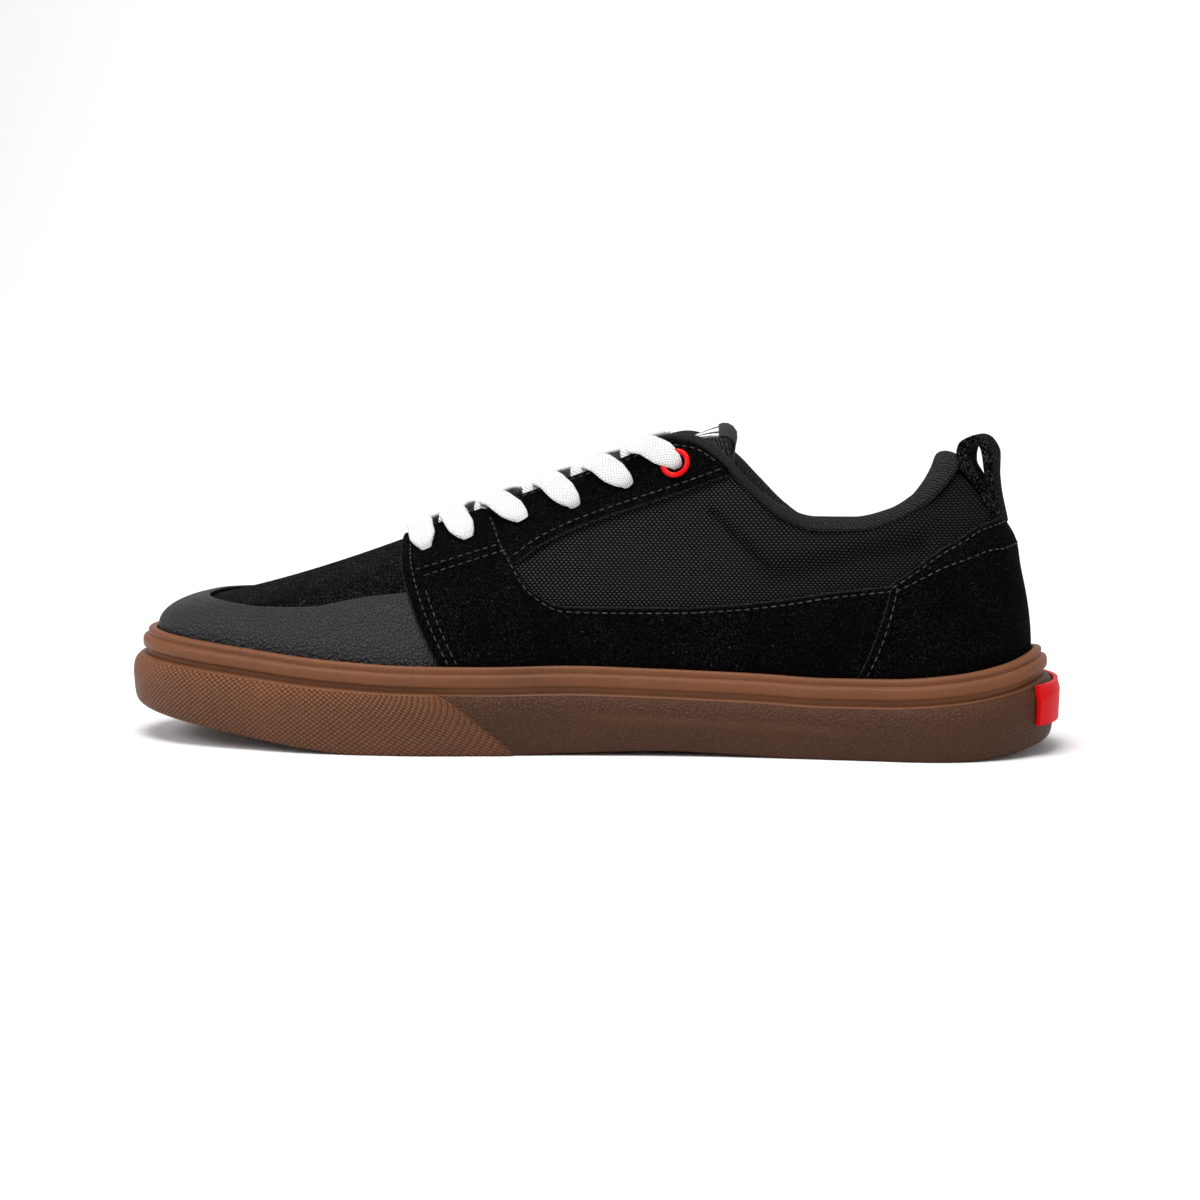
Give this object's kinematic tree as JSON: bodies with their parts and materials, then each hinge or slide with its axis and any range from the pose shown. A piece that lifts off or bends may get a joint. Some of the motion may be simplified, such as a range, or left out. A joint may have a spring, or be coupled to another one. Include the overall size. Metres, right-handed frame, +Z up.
{
  "type": "mountain bike shoe",
  "caption": "Low flat-pedal mountain bike shoe for the right foot: black suede and canvas upper, white laces, gum rubber cup sole.",
  "frame": {"origin": "on the floor under the middle of the shoe's bounding box", "axes": "-X toe, +X heel, -Y inner side of the foot, +Y outer side, +Z up"},
  "size_m": [0.3012, 0.1114, 0.1028],
  "materials": {
    "gum_rubber": "matt gum rubber with a fine grain",
    "black_suede": "napped suede",
    "black_canvas": "coarse plain weave",
    "toe_grain": "pebbled coated leather",
    "black_knit": "padded knit",
    "white_lace": "flat braided lace",
    "red_plastic": "satin",
    "white_woven": "woven tape",
    "insole_cloth": "cloth on foam"
  },
  "bodies": {
    "root": {"outsole": "gum_rubber", "insole": "insole_cloth", "upper": "black_canvas", "toe_cap": "toe_grain", "quarter_inner": "black_suede", "quarter_outer": "black_suede", "eyestay_inner": "black_suede", "eyestay_outer": "black_suede", "heel_counter": "black_suede", "collar": "black_knit", "tongue": "black_knit", "tongue_tab": "white_woven", "eyelet_inner": "red_plastic", "eyelet_outer": "red_plastic", "lace_bar": "white_lace", "lace_cross_1": "white_lace", "lace_cross_2": "white_lace", "lace_cross_3": "white_lace", "lace_cross_4": "white_lace", "lace_cross_5": "white_lace", "pull_loop": "black_suede", "heel_tab": "red_plastic"}
  },
  "joints": []
}
